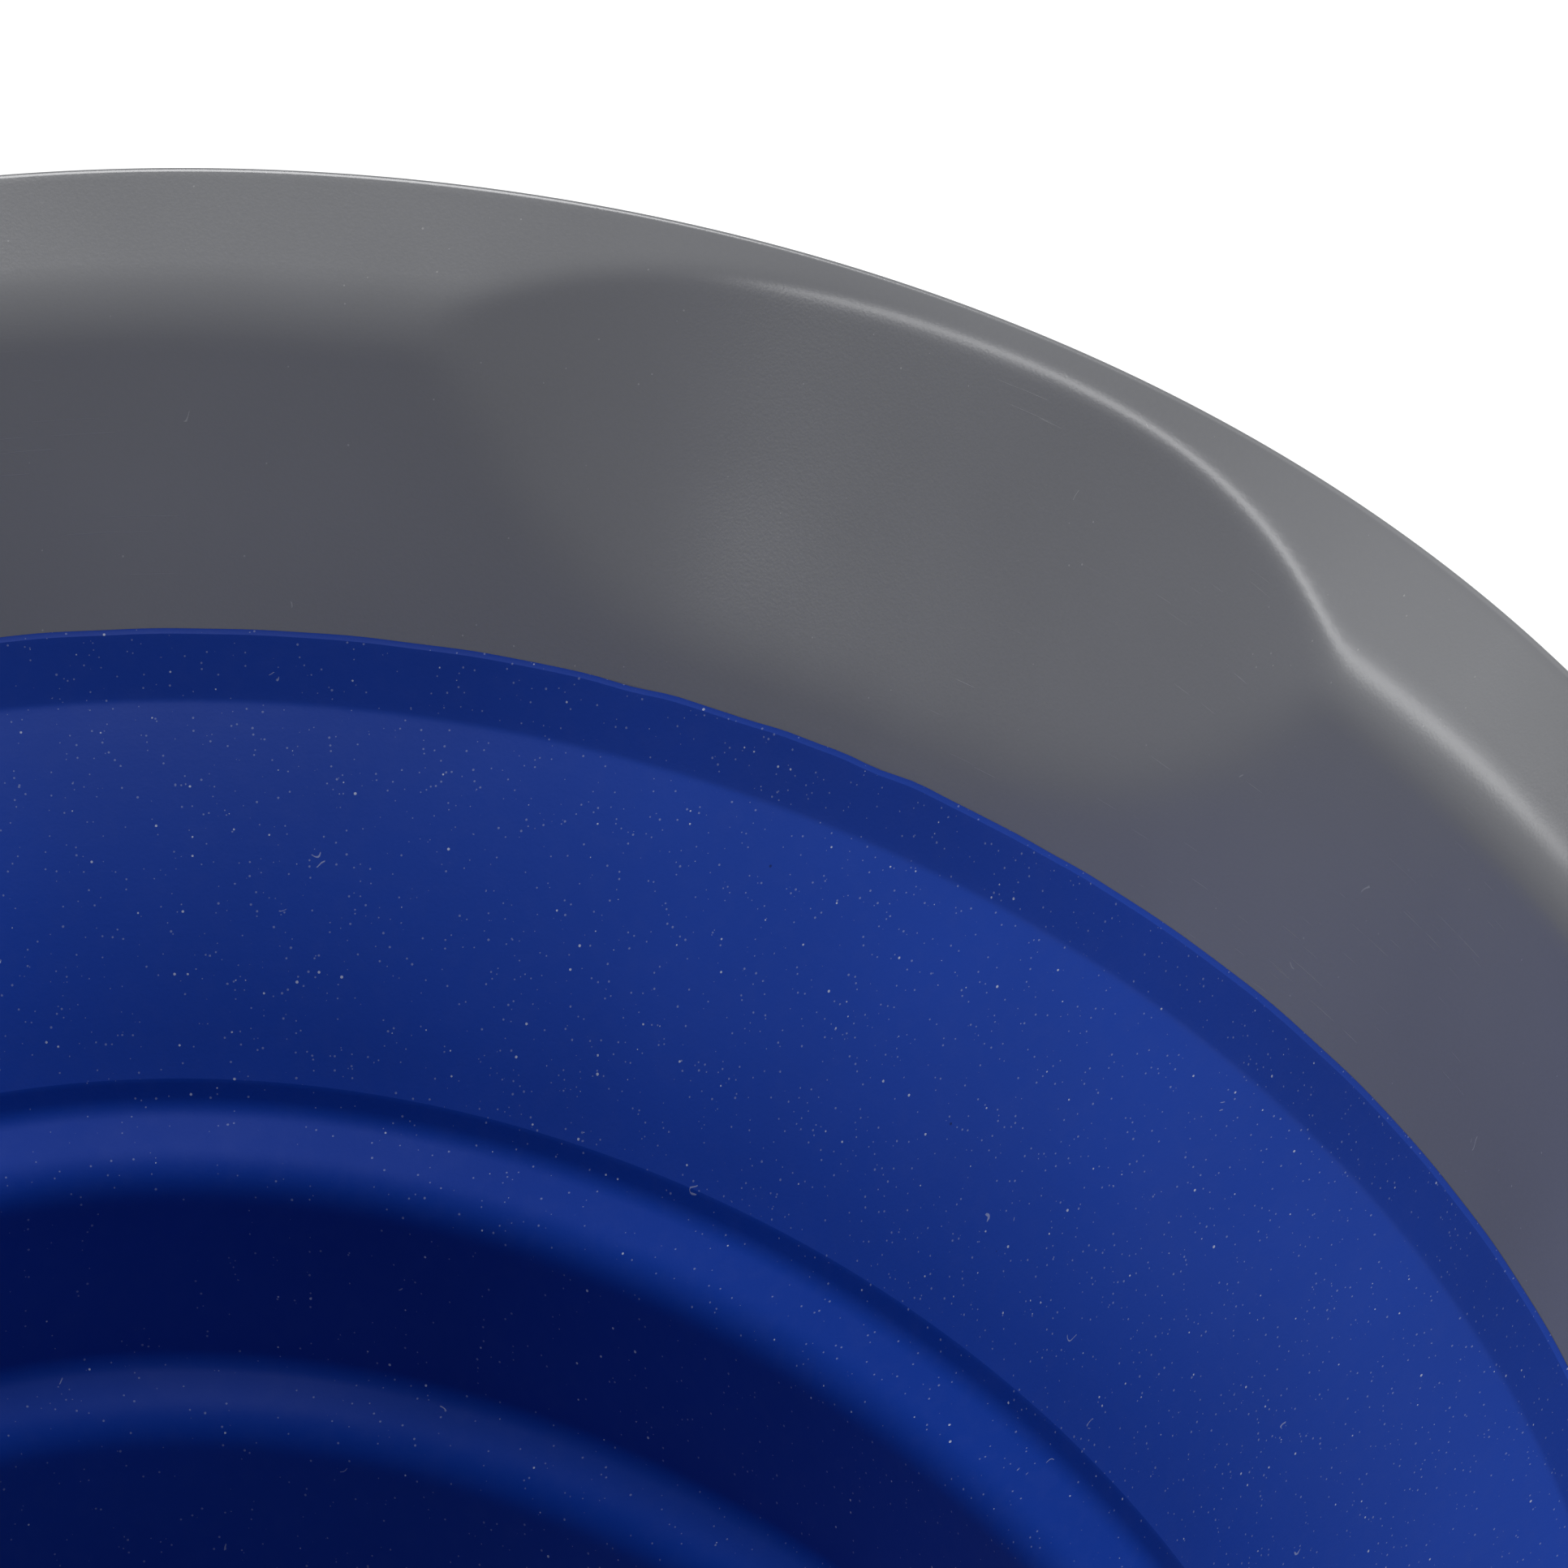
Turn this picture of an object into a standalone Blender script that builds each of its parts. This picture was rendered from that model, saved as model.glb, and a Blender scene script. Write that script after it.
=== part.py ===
"""Collapsible oval pet bathtub.

A rigid rim, a rubber wall in three tiers that nest as the tub is pressed flat,
and a rigid base pan with a drain, a plug and rubber feet.

Frame: X along the tub, Y across it, Z up, origin on the ground under the middle.
"""
import math

import bmesh
import bpy

MM = 0.001

# Plan of the rim's outer edge, an ellipse, and its height above the ground.
HALF_LENGTH = 360 * MM
HALF_WIDTH = 240 * MM
EDGE_HEIGHT = 235 * MM
SEGMENTS = 60

# Wall thicknesses, and the gap kept between touching pieces.
RIM_WALL = 3.0 * MM
RUBBER_WALL = 2.2 * MM
PAN_WALL = 3.0 * MM
GAP = 0.3 * MM

# Sections are (inset from the rim's outer edge, drop below it).
RIM_FOOT = (32.6 * MM, 67.2 * MM)
RIM_SHOULDER = (17.5 * MM, 16.0 * MM)
CROWN_CENTRE = (2.4 * MM, 1.6 * MM)
CROWN_RADIUS = 2.6 * MM
SKIRT_FOOT = (0.3 * MM, 27.0 * MM)
COLLAR_LAP = 9.0 * MM
COLLAR_TIP = (38.4 * MM, 78.8 * MM)

# Scoops in the rim: where each is centred and ends, and its chord at mid-length.
SCOOP_CENTRE = math.radians(35)
SCOOP_HALF_SPAN = math.radians(21.5)
SCOOP_LIP = (6.0 * MM, 1.6 * MM)
SCOOP_FOOT = (30.4 * MM, 59.5 * MM)
SCOOP_HOLLOW = 0.5 * MM

# Base pan: the floor's height, and its skirt's inset and lower edge.
FLOOR_TOP = 18 * MM
PAN_INSET = 97 * MM
SKIRT_BOTTOM = 6 * MM

# Feet: two rows of three bosses, each in a rubber pad.
FOOT_X = 175 * MM
FOOT_Y = 78 * MM
FOOT_MIDDLE_Y = 112 * MM
BOSS_RADIUS = 14 * MM
PAD_RADIUS = 17 * MM
PAD_HEIGHT = 5.5 * MM
PAD_SOLE = 3 * MM

# Ribs under the floor: one along and three across.
RIB_DEPTH = 6 * MM
RIB_REACH = 110 * MM
RIB_X = (-50 * MM, 30 * MM, 110 * MM)

# Grip mat on the floor.
MAT_HALF_LENGTH = 150 * MM
MAT_HALF_WIDTH = 100 * MM
MAT_X = 40 * MM
MAT_THICKNESS = 2 * MM

# Drain, centred near one end of the floor.
DRAIN_X = -175 * MM
BARREL_RADIUS = 20.4 * MM
BORE_RADIUS = 16.5 * MM
FLANGE_RADIUS = 28 * MM
FLANGE_TOP = 22.3 * MM
FLANGE_BOTTOM = 20.1 * MM
BARREL_BOTTOM = 4.5 * MM
LEDGE_TOP = 7.7 * MM
STRAINER_THICKNESS = 2 * MM
STRAINER_HOLE_RADIUS = 2.6 * MM
STRAINER_HOLE_RING = 9.6 * MM
NUT_RADIUS = 27 * MM
NUT_POINTS = 64
NUT_LOBES = 8
LOBE_SWELL = 0.07
PLUG_CAP_TOP = 25.6 * MM
EYE_HEIGHT = 29.4 * MM
EYE_RADIUS = 5 * MM
EYE_HOLE_RADIUS = 2.3 * MM
RING_WIRE_RADIUS = 1.6 * MM
RING_HALF_WIDTH = 11 * MM
RING_LENGTH = 26 * MM
RING_DROOP = math.radians(5)


def clear_scene():
    for item in list(bpy.data.objects):
        bpy.data.objects.remove(item)


def new_collection(name):
    group = bpy.data.collections.new(name)
    bpy.context.scene.collection.children.link(group)
    return group


clear_scene()
TUB = new_collection("pet_bathtub")
CUTTERS = new_collection("cutters")


def plastic(name, colour, roughness):
    """A Principled material of one colour."""
    material = bpy.data.materials.new(name)
    material.use_nodes = True
    shader = material.node_tree.nodes["Principled BSDF"]
    shader.inputs["Base Color"].default_value = (*colour, 1)
    shader.inputs["Roughness"].default_value = roughness
    shader.inputs["Metallic"].default_value = 0
    material.diffuse_color = (*colour, 1)
    return material


RIM_GREY = (0.115, 0.117, 0.128)
TIER_BLUE = (0.012, 0.035, 0.20)
BASE_GREY = (0.115, 0.117, 0.128)
PALE_GREY = (0.30, 0.31, 0.33)
DARK_RUBBER = (0.02, 0.02, 0.025)


def add_object(name, mesh, colour=None, roughness=0.5):
    """Link a mesh as a part, or as a cutter when it has no colour."""
    item = bpy.data.objects.new(name, mesh)
    if colour is None:
        CUTTERS.objects.link(item)
        item.hide_render = True
        item.display_type = "WIRE"
    else:
        TUB.objects.link(item)
        if not mesh.materials:
            mesh.materials.append(plastic(name, colour, roughness))
    return item


def mesh_from(name, work):
    """Close a bmesh into a mesh that is smooth except at its edges."""
    mesh = bpy.data.meshes.new(name)
    work.to_mesh(mesh)
    work.free()
    mesh.shade_smooth()
    mesh.set_sharp_from_angle(angle=math.radians(35))
    return mesh


def oval_point(angle, inset, drop):
    """A point at an ellipse angle, moved in along the outline's normal and down."""
    across_x = math.cos(angle) / HALF_LENGTH
    across_y = math.sin(angle) / HALF_WIDTH
    size = math.hypot(across_x, across_y)
    return (HALF_LENGTH * math.cos(angle) - inset * across_x / size,
            HALF_WIDTH * math.sin(angle) - inset * across_y / size,
            EDGE_HEIGHT - drop)


def loft_rings(section, closed=False, floor=False):
    """Loft section(angle), a list of (inset, drop), round the oval.

    Faces look outwards where a section runs up, up where it runs inwards, and
    into the tub where it runs down.
    """
    work = bmesh.new()
    rings = []
    for step in range(SEGMENTS):
        angle = 2 * math.pi * step / SEGMENTS
        rings.append([work.verts.new(oval_point(angle, *point)) for point in section(angle)])
    count = len(rings[0])
    for step, ring in enumerate(rings):
        following = rings[(step + 1) % SEGMENTS]
        for low in range(count if closed else count - 1):
            high = (low + 1) % count
            work.faces.new((ring[low], following[low], following[high], ring[high]))
    if floor:
        work.faces.new([ring[-1] for ring in rings])
    return work


def oval_shell(name, section, thickness, colour, roughness, floor=False):
    """An oval wall that is thickened behind its lofted face."""
    work = loft_rings(section, floor=floor)
    item = add_object(name, mesh_from(name, work), colour, roughness)
    solid = item.modifiers.new("thickness", "SOLIDIFY")
    solid.thickness = thickness
    solid.offset = -1
    solid.use_even_offset = True
    return item


def screw(name, profile, place, colour=None, roughness=0.5, steps=32, closed=False):
    """Turn a profile of (radius, height) about Z; it runs down its outer side."""
    work = bmesh.new()
    points = [work.verts.new((radius, 0, height)) for radius, height in profile]
    for first, second in zip(points, points[1:] + points[:1] if closed else points[1:]):
        work.edges.new((first, second))
    item = add_object(name, mesh_from(name, work), colour, roughness)
    item.location = place
    turn = item.modifiers.new("turn", "SCREW")
    turn.steps = steps
    turn.render_steps = steps
    turn.use_merge_vertices = True
    turn.merge_threshold = 0.00001
    turn.use_smooth_shade = True
    return item


def boolean(item, cutter, operation):
    cut = item.modifiers.new(cutter.name, "BOOLEAN")
    cut.operation = operation
    cut.object = cutter


def outline(name, loops, bottom, thickness, place, colour, roughness):
    """A flat plate from closed loops of (x, y); loops inside the first are holes."""
    curve = bpy.data.curves.new(name, "CURVE")
    curve.dimensions = "2D"
    curve.fill_mode = "BOTH"
    curve.extrude = thickness / 2
    for loop in loops:
        spline = curve.splines.new("POLY")
        spline.points.add(len(loop) - 1)
        spline.use_cyclic_u = True
        for point, (x, y) in zip(spline.points, loop):
            point.co = (x, y, 0, 1)
    curve.materials.append(plastic(name, colour, roughness))
    item = bpy.data.objects.new(name, curve)
    item.location = (place[0], place[1], bottom + thickness / 2)
    TUB.objects.link(item)
    return item


def circle(radius, count, centre=(0, 0)):
    return [(centre[0] + radius * math.cos(2 * math.pi * step / count),
             centre[1] + radius * math.sin(2 * math.pi * step / count)) for step in range(count)]


def scoop_depth(angle):
    """0 on the plain rim, 1 at the middle of one of the four scoops."""
    quarter = math.atan2(abs(math.sin(angle)), abs(math.cos(angle)))
    away = abs(quarter - SCOOP_CENTRE) / SCOOP_HALF_SPAN
    return max(0.0, 1 - away ** 3)


def between(start, end, share):
    return tuple(a + (b - a) * share for a, b in zip(start, end))


def arc_point(centre, radius, degrees):
    """A point on an arc; 0 points into the tub and 90 straight up."""
    turn = math.radians(degrees)
    return centre[0] + radius * math.cos(turn), centre[1] - radius * math.sin(turn)


def rim_section(angle):
    """Up the outer skirt, over the crown and down the inner face to the foot."""
    depth = scoop_depth(angle)
    lip = between(RIM_SHOULDER, SCOOP_LIP, depth)
    foot = between(RIM_SHOULDER, SCOOP_FOOT, depth)
    middle = between(lip, foot, 0.5)
    hollow = (middle[0] - SCOOP_HOLLOW * depth, middle[1] + SCOOP_HOLLOW * depth)
    crown = [arc_point(CROWN_CENTRE, CROWN_RADIUS, degrees) for degrees in (175, 130, 95, 60)]
    softened = 0.04 * (1 - depth) + 0.005
    below = between(foot, RIM_FOOT, softened)
    above = between(lip, crown[-1], softened * 4)
    return [SKIRT_FOOT, *crown, above, hollow, below, between(below, RIM_FOOT, 0.5), RIM_FOOT]


def rim_shell():
    oval_shell("rim_shell", rim_section, RIM_WALL, RIM_GREY, 0.5)


def wall_collar():
    """Rubber band round the rim's foot, lapping up its outside."""
    inset, drop = RIM_FOOT
    lap_drop = drop - COLLAR_LAP
    tip_inset, tip_drop = COLLAR_TIP
    section = [(inset - 0.2 * MM, drop + GAP), (tip_inset - 0.4 * MM, tip_drop - 1.3 * MM),
               COLLAR_TIP, (tip_inset - 0.2 * MM, tip_drop + 1.6 * MM),
               (tip_inset - 3.4 * MM, tip_drop + 2.1 * MM), (inset - 5 * MM, drop + 2.4 * MM),
               (inset - 9.2 * MM, lap_drop), (inset - 6.8 * MM, lap_drop),
               (inset - 3.4 * MM, drop + 1.3 * MM)]
    work = loft_rings(lambda angle: section, closed=True)
    add_object("wall_collar", mesh_from("wall_collar", work), TIER_BLUE, 0.55)


def wall_tiers():
    """The wall's three tiers: a bowed cone under the collar, then two stepped walls."""
    tiers = {
        "wall_upper_tier": [(40.3, 79.1), (45.8, 84.9), (53.0, 93.2), (59.6, 102.1), (65.5, 111.5),
                            (70.7, 121.2), (74.8, 129.2)],
        "wall_middle_tier": [(76.3, 130.8), (80.4, 133.0), (84.2, 135.8), (86.6, 139.6),
                             (87.3, 145.0), (86.8, 171.6)],
        "wall_lower_tier": [(88.9, 173.2), (92.4, 175.4), (95.4, 178.4), (97.0, 182.4), (98.6, 206.2),
                            (99.6, 211.0), (102.2, 213.7), (112.0, 214.4)],
    }
    for name, points in tiers.items():
        section = [(inset * MM, drop * MM) for inset, drop in points]
        oval_shell(name, lambda angle, rows=section: rows, RUBBER_WALL, TIER_BLUE, 0.55)


def foot_places():
    places = [(x, y) for x in (-FOOT_X, FOOT_X) for y in (-FOOT_Y, FOOT_Y)]
    return places + [(0, -FOOT_MIDDLE_Y), (0, FOOT_MIDDLE_Y)]


def cylinder(name, radius, bottom, top, places, segments=20):
    """Upright cylinders in one cutter object."""
    work = bmesh.new()
    for x, y in places:
        made = bmesh.ops.create_cone(work, cap_ends=True, segments=segments, radius1=radius,
                                     radius2=radius, depth=top - bottom)
        bmesh.ops.translate(work, verts=made["verts"], vec=(x, y, (top + bottom) / 2))
    return add_object(name, mesh_from(name, work))


def rib(name, x, length, width):
    """One stiffening rib under the floor, clear of the feet and the drain."""
    work = bmesh.new()
    made = bmesh.ops.create_cube(work, size=1)
    bmesh.ops.scale(work, verts=made["verts"], vec=(length, width, RIB_DEPTH + PAN_WALL / 2))
    middle = FLOOR_TOP - PAN_WALL * 0.75 - RIB_DEPTH / 2
    bmesh.ops.translate(work, verts=made["verts"], vec=(x, 0, middle))
    return add_object(name, mesh_from(name, work))


def base_pan():
    """Floor plate with a skirt turned down round it, six bosses, ribs and the drain hole."""
    floor_drop = EDGE_HEIGHT - FLOOR_TOP
    section = [(PAN_INSET, EDGE_HEIGHT - SKIRT_BOTTOM), (PAN_INSET, floor_drop + 2.5 * MM),
               (PAN_INSET + 0.8 * MM, floor_drop + 0.8 * MM), (PAN_INSET + 2.5 * MM, floor_drop),
               (PAN_INSET + 16 * MM, floor_drop)]
    pan = oval_shell("base_pan", lambda angle: section, PAN_WALL, BASE_GREY, 0.5, floor=True)
    bosses = cylinder("pan_bosses", BOSS_RADIUS, PAD_SOLE + GAP, FLOOR_TOP - PAN_WALL / 2,
                      foot_places())
    hole = cylinder("drain_hole", BARREL_RADIUS + 2 * GAP, 0, 2 * FLOOR_TOP, [(DRAIN_X, 0)], 32)
    boolean(pan, bosses, "UNION")
    boolean(pan, rib("rib_long", RIB_X[1], 2 * RIB_REACH, PAN_WALL), "UNION")
    for number, x in enumerate(RIB_X):
        boolean(pan, rib(f"rib_{number}", x, PAN_WALL, 2 * RIB_REACH * 0.8), "UNION")
    boolean(pan, hole, "DIFFERENCE")


def foot_pads():
    recess = BOSS_RADIUS + 0.8 * MM
    profile = [(0, PAD_SOLE), (recess, PAD_SOLE), (recess, PAD_HEIGHT), (PAD_RADIUS, PAD_HEIGHT),
               (PAD_RADIUS, 1.2 * MM), (PAD_RADIUS - 1.2 * MM, 0), (0, 0)]
    for number, (x, y) in enumerate(foot_places(), 1):
        screw(f"foot_pad_{number}", profile, (x, y, 0), DARK_RUBBER, 0.8, steps=20)


def base_grip_mat():
    loop = [(MAT_HALF_LENGTH * x, MAT_HALF_WIDTH * y) for x, y in circle(1, 48)]
    outline("base_grip_mat", [loop], FLOOR_TOP + GAP, MAT_THICKNESS, (MAT_X, 0), TIER_BLUE, 0.7)


def drain_fittings():
    """Seat, gasket, locknut and strainer of the drain."""
    place = (DRAIN_X, 0, 0)
    seat = [(BORE_RADIUS + 1 * MM, FLANGE_TOP), (FLANGE_RADIUS - 1 * MM, FLANGE_TOP),
            (FLANGE_RADIUS, FLANGE_BOTTOM), (BARREL_RADIUS, FLANGE_BOTTOM),
            (BARREL_RADIUS, BARREL_BOTTOM), (BORE_RADIUS - 2 * MM, BARREL_BOTTOM),
            (BORE_RADIUS - 2 * MM, LEDGE_TOP), (BORE_RADIUS, LEDGE_TOP),
            (BORE_RADIUS, FLANGE_TOP - 1 * MM)]
    screw("drain_seat", seat, place, PALE_GREY, 0.45, closed=True)
    gasket_inner = BARREL_RADIUS + 3 * GAP
    gasket_outer = FLANGE_RADIUS - 2 * MM
    gasket = [(gasket_inner, FLANGE_BOTTOM - GAP), (gasket_outer, FLANGE_BOTTOM - GAP),
              (gasket_outer, FLOOR_TOP + GAP), (gasket_inner, FLOOR_TOP + GAP)]
    screw("drain_gasket", gasket, place, DARK_RUBBER, 0.8, closed=True)
    lobes = []
    for step, (x, y) in enumerate(circle(NUT_RADIUS, NUT_POINTS)):
        swell = 1 + LOBE_SWELL * math.cos(NUT_LOBES * 2 * math.pi * step / NUT_POINTS)
        lobes.append((x * swell, y * swell))
    nut_bottom = BARREL_BOTTOM + 1 * MM
    nut_height = FLOOR_TOP - PAN_WALL - GAP - nut_bottom
    outline("drain_locknut", [lobes, circle(BARREL_RADIUS + 2 * GAP, 32)], nut_bottom, nut_height,
            place, PALE_GREY, 0.5)
    centres = [(0, 0), *circle(STRAINER_HOLE_RING, 8)]
    holes = [circle(STRAINER_HOLE_RADIUS, 12, centre) for centre in centres]
    outline("drain_strainer", [circle(BORE_RADIUS - 2 * GAP, 32), *holes], LEDGE_TOP + GAP,
            STRAINER_THICKNESS, place, PALE_GREY, 0.4)


def eye_cylinder(name, radius, length):
    """A cylinder along Y at the height of the plug's eye."""
    work = bmesh.new()
    bmesh.ops.create_cone(work, cap_ends=True, segments=20, radius1=radius, radius2=radius,
                          depth=length)
    item = add_object(name, mesh_from(name, work))
    item.location = (DRAIN_X, 0, EYE_HEIGHT)
    item.rotation_euler = (math.pi / 2, 0, 0)
    return item


def drain_plug():
    stem_bottom = LEDGE_TOP + STRAINER_THICKNESS + 2.5 * MM
    cap_bottom = FLANGE_TOP + GAP
    stem_top_radius = BORE_RADIUS - GAP
    profile = [(0, PLUG_CAP_TOP), (19.5 * MM, PLUG_CAP_TOP), (21 * MM, cap_bottom + 1 * MM),
               (20.4 * MM, cap_bottom), (stem_top_radius, cap_bottom),
               (stem_top_radius, FLANGE_TOP - 2 * MM), (stem_top_radius - 1 * MM, stem_bottom),
               (0, stem_bottom)]
    plug = screw("drain_plug", profile, (DRAIN_X, 0, 0), TIER_BLUE, 0.6)
    boolean(plug, eye_cylinder("eye_body", EYE_RADIUS, 5 * MM), "UNION")
    boolean(plug, eye_cylinder("eye_hole", EYE_HOLE_RADIUS, 12 * MM), "DIFFERENCE")


def plug_pull_ring():
    """A D-shaped wire ring whose straight side runs through the plug's eye."""
    bend = RING_HALF_WIDTH
    far_centre = RING_LENGTH - bend
    corner = 3 * MM
    path = [(0, -bend + corner), (0, 0), (0, bend - corner), (0.9 * MM, bend - 0.9 * MM)]
    for step in range(9):
        turn = math.pi / 2 - math.pi * step / 8
        path.append((far_centre + bend * math.cos(turn), bend * math.sin(turn)))
    path.append((0.9 * MM, -bend + 0.9 * MM))
    curve = bpy.data.curves.new("plug_pull_ring", "CURVE")
    curve.dimensions = "3D"
    curve.bevel_depth = RING_WIRE_RADIUS
    curve.bevel_resolution = 2
    spline = curve.splines.new("POLY")
    spline.points.add(len(path) - 1)
    spline.use_cyclic_u = True
    for point, (x, y) in zip(spline.points, path):
        point.co = (x, y, 0, 1)
    curve.materials.append(plastic("plug_pull_ring", PALE_GREY, 0.45))
    ring = bpy.data.objects.new("plug_pull_ring", curve)
    ring.location = (DRAIN_X, 0, EYE_HEIGHT)
    ring.rotation_euler = (0, RING_DROOP, 0)
    TUB.objects.link(ring)


rim_shell()
wall_collar()
wall_tiers()
base_pan()
foot_pads()
base_grip_mat()
drain_fittings()
drain_plug()
plug_pull_ring()
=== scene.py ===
"""The finished look of the folding pet bathtub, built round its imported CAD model."""
import math

import bmesh
import bpy
import numpy as np
from mathutils import Matrix, Vector


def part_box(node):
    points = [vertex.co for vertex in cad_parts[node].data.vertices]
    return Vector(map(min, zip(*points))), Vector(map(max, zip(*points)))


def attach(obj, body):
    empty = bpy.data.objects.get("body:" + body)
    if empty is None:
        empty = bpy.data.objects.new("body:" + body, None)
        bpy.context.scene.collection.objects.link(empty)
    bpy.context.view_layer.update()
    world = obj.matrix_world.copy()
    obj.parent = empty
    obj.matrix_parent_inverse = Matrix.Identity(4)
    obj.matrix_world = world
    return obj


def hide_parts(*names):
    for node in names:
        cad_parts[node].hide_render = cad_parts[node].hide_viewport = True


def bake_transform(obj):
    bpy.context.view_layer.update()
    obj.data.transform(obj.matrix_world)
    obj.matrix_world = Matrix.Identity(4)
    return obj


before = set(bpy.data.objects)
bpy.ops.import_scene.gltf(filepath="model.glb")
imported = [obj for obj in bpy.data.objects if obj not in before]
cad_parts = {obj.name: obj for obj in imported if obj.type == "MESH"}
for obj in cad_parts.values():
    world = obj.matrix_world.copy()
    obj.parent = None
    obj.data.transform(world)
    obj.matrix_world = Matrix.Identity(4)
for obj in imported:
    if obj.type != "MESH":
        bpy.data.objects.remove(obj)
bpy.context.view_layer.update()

MM = 0.001

# The tub is an oval: its edge is an ellipse, and its sections are points (inset, drop) in
# millimetres, inward and down from that edge. The rim's crown stands a little proud of it.
RIM_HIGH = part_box("rim_shell")[1]
CROWN_OUT = 0.2 * MM
CROWN_UP = 1.0 * MM
HALF_LENGTH = RIM_HIGH.x - CROWN_OUT
HALF_WIDTH = RIM_HIGH.y - CROWN_OUT
EDGE_HEIGHT = RIM_HIGH.z - CROWN_UP
SEGMENTS = 480
ANGLES = np.arange(SEGMENTS) * (2 * math.pi / SEGMENTS)

# An arc's points lie no further apart than this turn and this length, and points nearer
# together than the last length are one point.
ARC_TURN = 0.13
ARC_STEP = 2.5
SAME_POINT = 0.02

# Every size below is in millimetres.
RIM_WALL = 3.0
RUBBER_WALL = 2.2
PAN_WALL = 3.0

# The corners of the rim's section, from the skirt outside to the foot inside.
SKIRT_FOOT = np.array((0.3, 27.0))
RIM_EDGE = np.array((0.02, -2.3))
RIM_SHOULDER = np.array((17.5, 16.0))
RIM_FOOT = np.array((32.75, 67.7))
EDGE_RADIUS = 0.95
BACK_EDGE_RADIUS = 2.8
SHOULDER_RADIUS = 27.0

# A scoop is a steep facet cut into the shoulder, deepest at its centre angle. Its hollow and its
# lip's softness change along the facet, from so far above the shoulder's corner over such a length.
SCOOP_CENTRE = math.radians(35)
SCOOP_HALF_SPAN = math.radians(21.3)
SCOOP_CUT = 6.3
SCOOP_ROUNDNESS = 2.8
SCOOP_SLOPE = math.radians(65.5)
SCOOP_HOLLOW = 0.4
HOLLOW_ABOVE = 16.0
HOLLOW_LENGTH = 62.0
LIP_SOFTNESS = 0.30
FOOT_SOFTNESS = 0.50
BACK_SOFTNESS = 1.6
SOFTNESS_ABOVE = 4.0
SOFTNESS_LENGTH = 24.0
UNCUT_EDGE = 1.2
EDGE_FADE = 2.0
FOOT_FADE = 4.0


def unit(vector):
    return vector / np.linalg.norm(vector)


def unit_rows(vectors):
    return vectors / np.linalg.norm(vectors, axis=-1, keepdims=True)


def rounded(corners, step):
    """Points along a line through corners (x, y, radius), each rounded with an arc."""
    places = [np.array(corner[:2], float) for corner in corners]
    points = [places[0]]
    for number in range(1, len(corners) - 1):
        here = places[number]
        radius = corners[number][2]
        into = unit(here - places[number - 1])
        out = unit(places[number + 1] - here)
        turn = math.atan2(into[0] * out[1] - into[1] * out[0], into @ out)
        reach = radius * math.tan(abs(turn) / 2)
        start = here - into * reach
        side = math.copysign(1, turn)
        centre = start + side * radius * np.array((-into[1], into[0]))
        count = max(3, math.ceil(abs(turn) / ARC_TURN), math.ceil(abs(turn) * radius / ARC_STEP))
        for share in np.linspace(0, turn, count + 1):
            spoke = start - centre
            points.append(centre + (spoke[0] * math.cos(share) - spoke[1] * math.sin(share),
                                    spoke[0] * math.sin(share) + spoke[1] * math.cos(share)))
    points.append(places[-1])
    return filled(points, step)


def filled(points, step):
    """The same line with no two points further apart than step."""
    full = [points[0]]
    for start, end in zip(points, points[1:]):
        count = max(1, math.ceil(np.linalg.norm(end - start) / step))
        full += [start + (end - start) * share for share in np.linspace(0, 1, count + 1)[1:]]
    keep = [full[0]] + [b for a, b in zip(full, full[1:]) if np.linalg.norm(b - a) > SAME_POINT]
    return np.array(keep)


def right_normals(paths):
    """Unit normals of lines of points, on the side that faces the water or the sky."""
    along = np.gradient(paths, axis=-2)
    normals = np.stack((-along[..., 1], along[..., 0]), axis=-1)
    return -normals / np.linalg.norm(normals, axis=-1, keepdims=True)


def closed_loops(front, behind, bulge=0.9):
    """Closed loops: the shown line, a bulging end, the line behind it and another end."""
    ends = []
    for first, second, last, before in ((front, behind, -1, -2), (behind, front, 0, 1)):
        along = unit_rows(first[..., last, :] - first[..., before, :])
        for share in (0.2, 0.5, 0.8):
            place = first[..., last, :] * (1 - share) + second[..., last, :] * share
            ends.append((place + along * bulge * math.sin(math.pi * share))[..., None, :])
    return np.concatenate((front, *ends[:3], behind[..., ::-1, :], *ends[3:]), axis=-2)


def outward_normals():
    """The edge ellipse's normal at each angle, seen from above."""
    return unit_rows(np.stack((np.cos(ANGLES) / HALF_LENGTH, np.sin(ANGLES) / HALF_WIDTH), axis=-1))


def oval(sections):
    """World points of sections, one at each angle."""
    edge = np.stack((HALF_LENGTH * np.cos(ANGLES), HALF_WIDTH * np.sin(ANGLES)), axis=-1)
    plan = edge[:, None, :] - outward_normals()[:, None, :] * sections[..., 0:1] * MM
    height = EDGE_HEIGHT - sections[..., 1:2] * MM
    return np.concatenate((plan, height), axis=-1)


def all_round(path):
    """The same section at every angle."""
    return np.broadcast_to(path, (SEGMENTS, *path.shape))


def show_mesh(name, mesh, material, smooth_below):
    """An object for a mesh, shaded smooth but for edges sharper than an angle in degrees."""
    mesh.shade_smooth()
    mesh.set_sharp_from_angle(angle=math.radians(smooth_below))
    mesh.materials.append(material)
    item = bpy.data.objects.new(name, mesh)
    bpy.context.scene.collection.objects.link(item)
    return item


def from_points(name, points, faces, material, smooth_below=50):
    mesh = bpy.data.meshes.new(name)
    mesh.from_pydata(points.reshape(-1, 3).tolist(), [], faces)
    mesh.update()
    return show_mesh(name, mesh, material, smooth_below)


def from_bmesh(name, work, material, smooth_below=45):
    bmesh.ops.recalc_face_normals(work, faces=work.faces)
    mesh = bpy.data.meshes.new(name)
    work.to_mesh(mesh)
    work.free()
    return show_mesh(name, mesh, material, smooth_below)


def finish_piece(item, body, node):
    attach(item, body)
    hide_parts(node)


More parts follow.
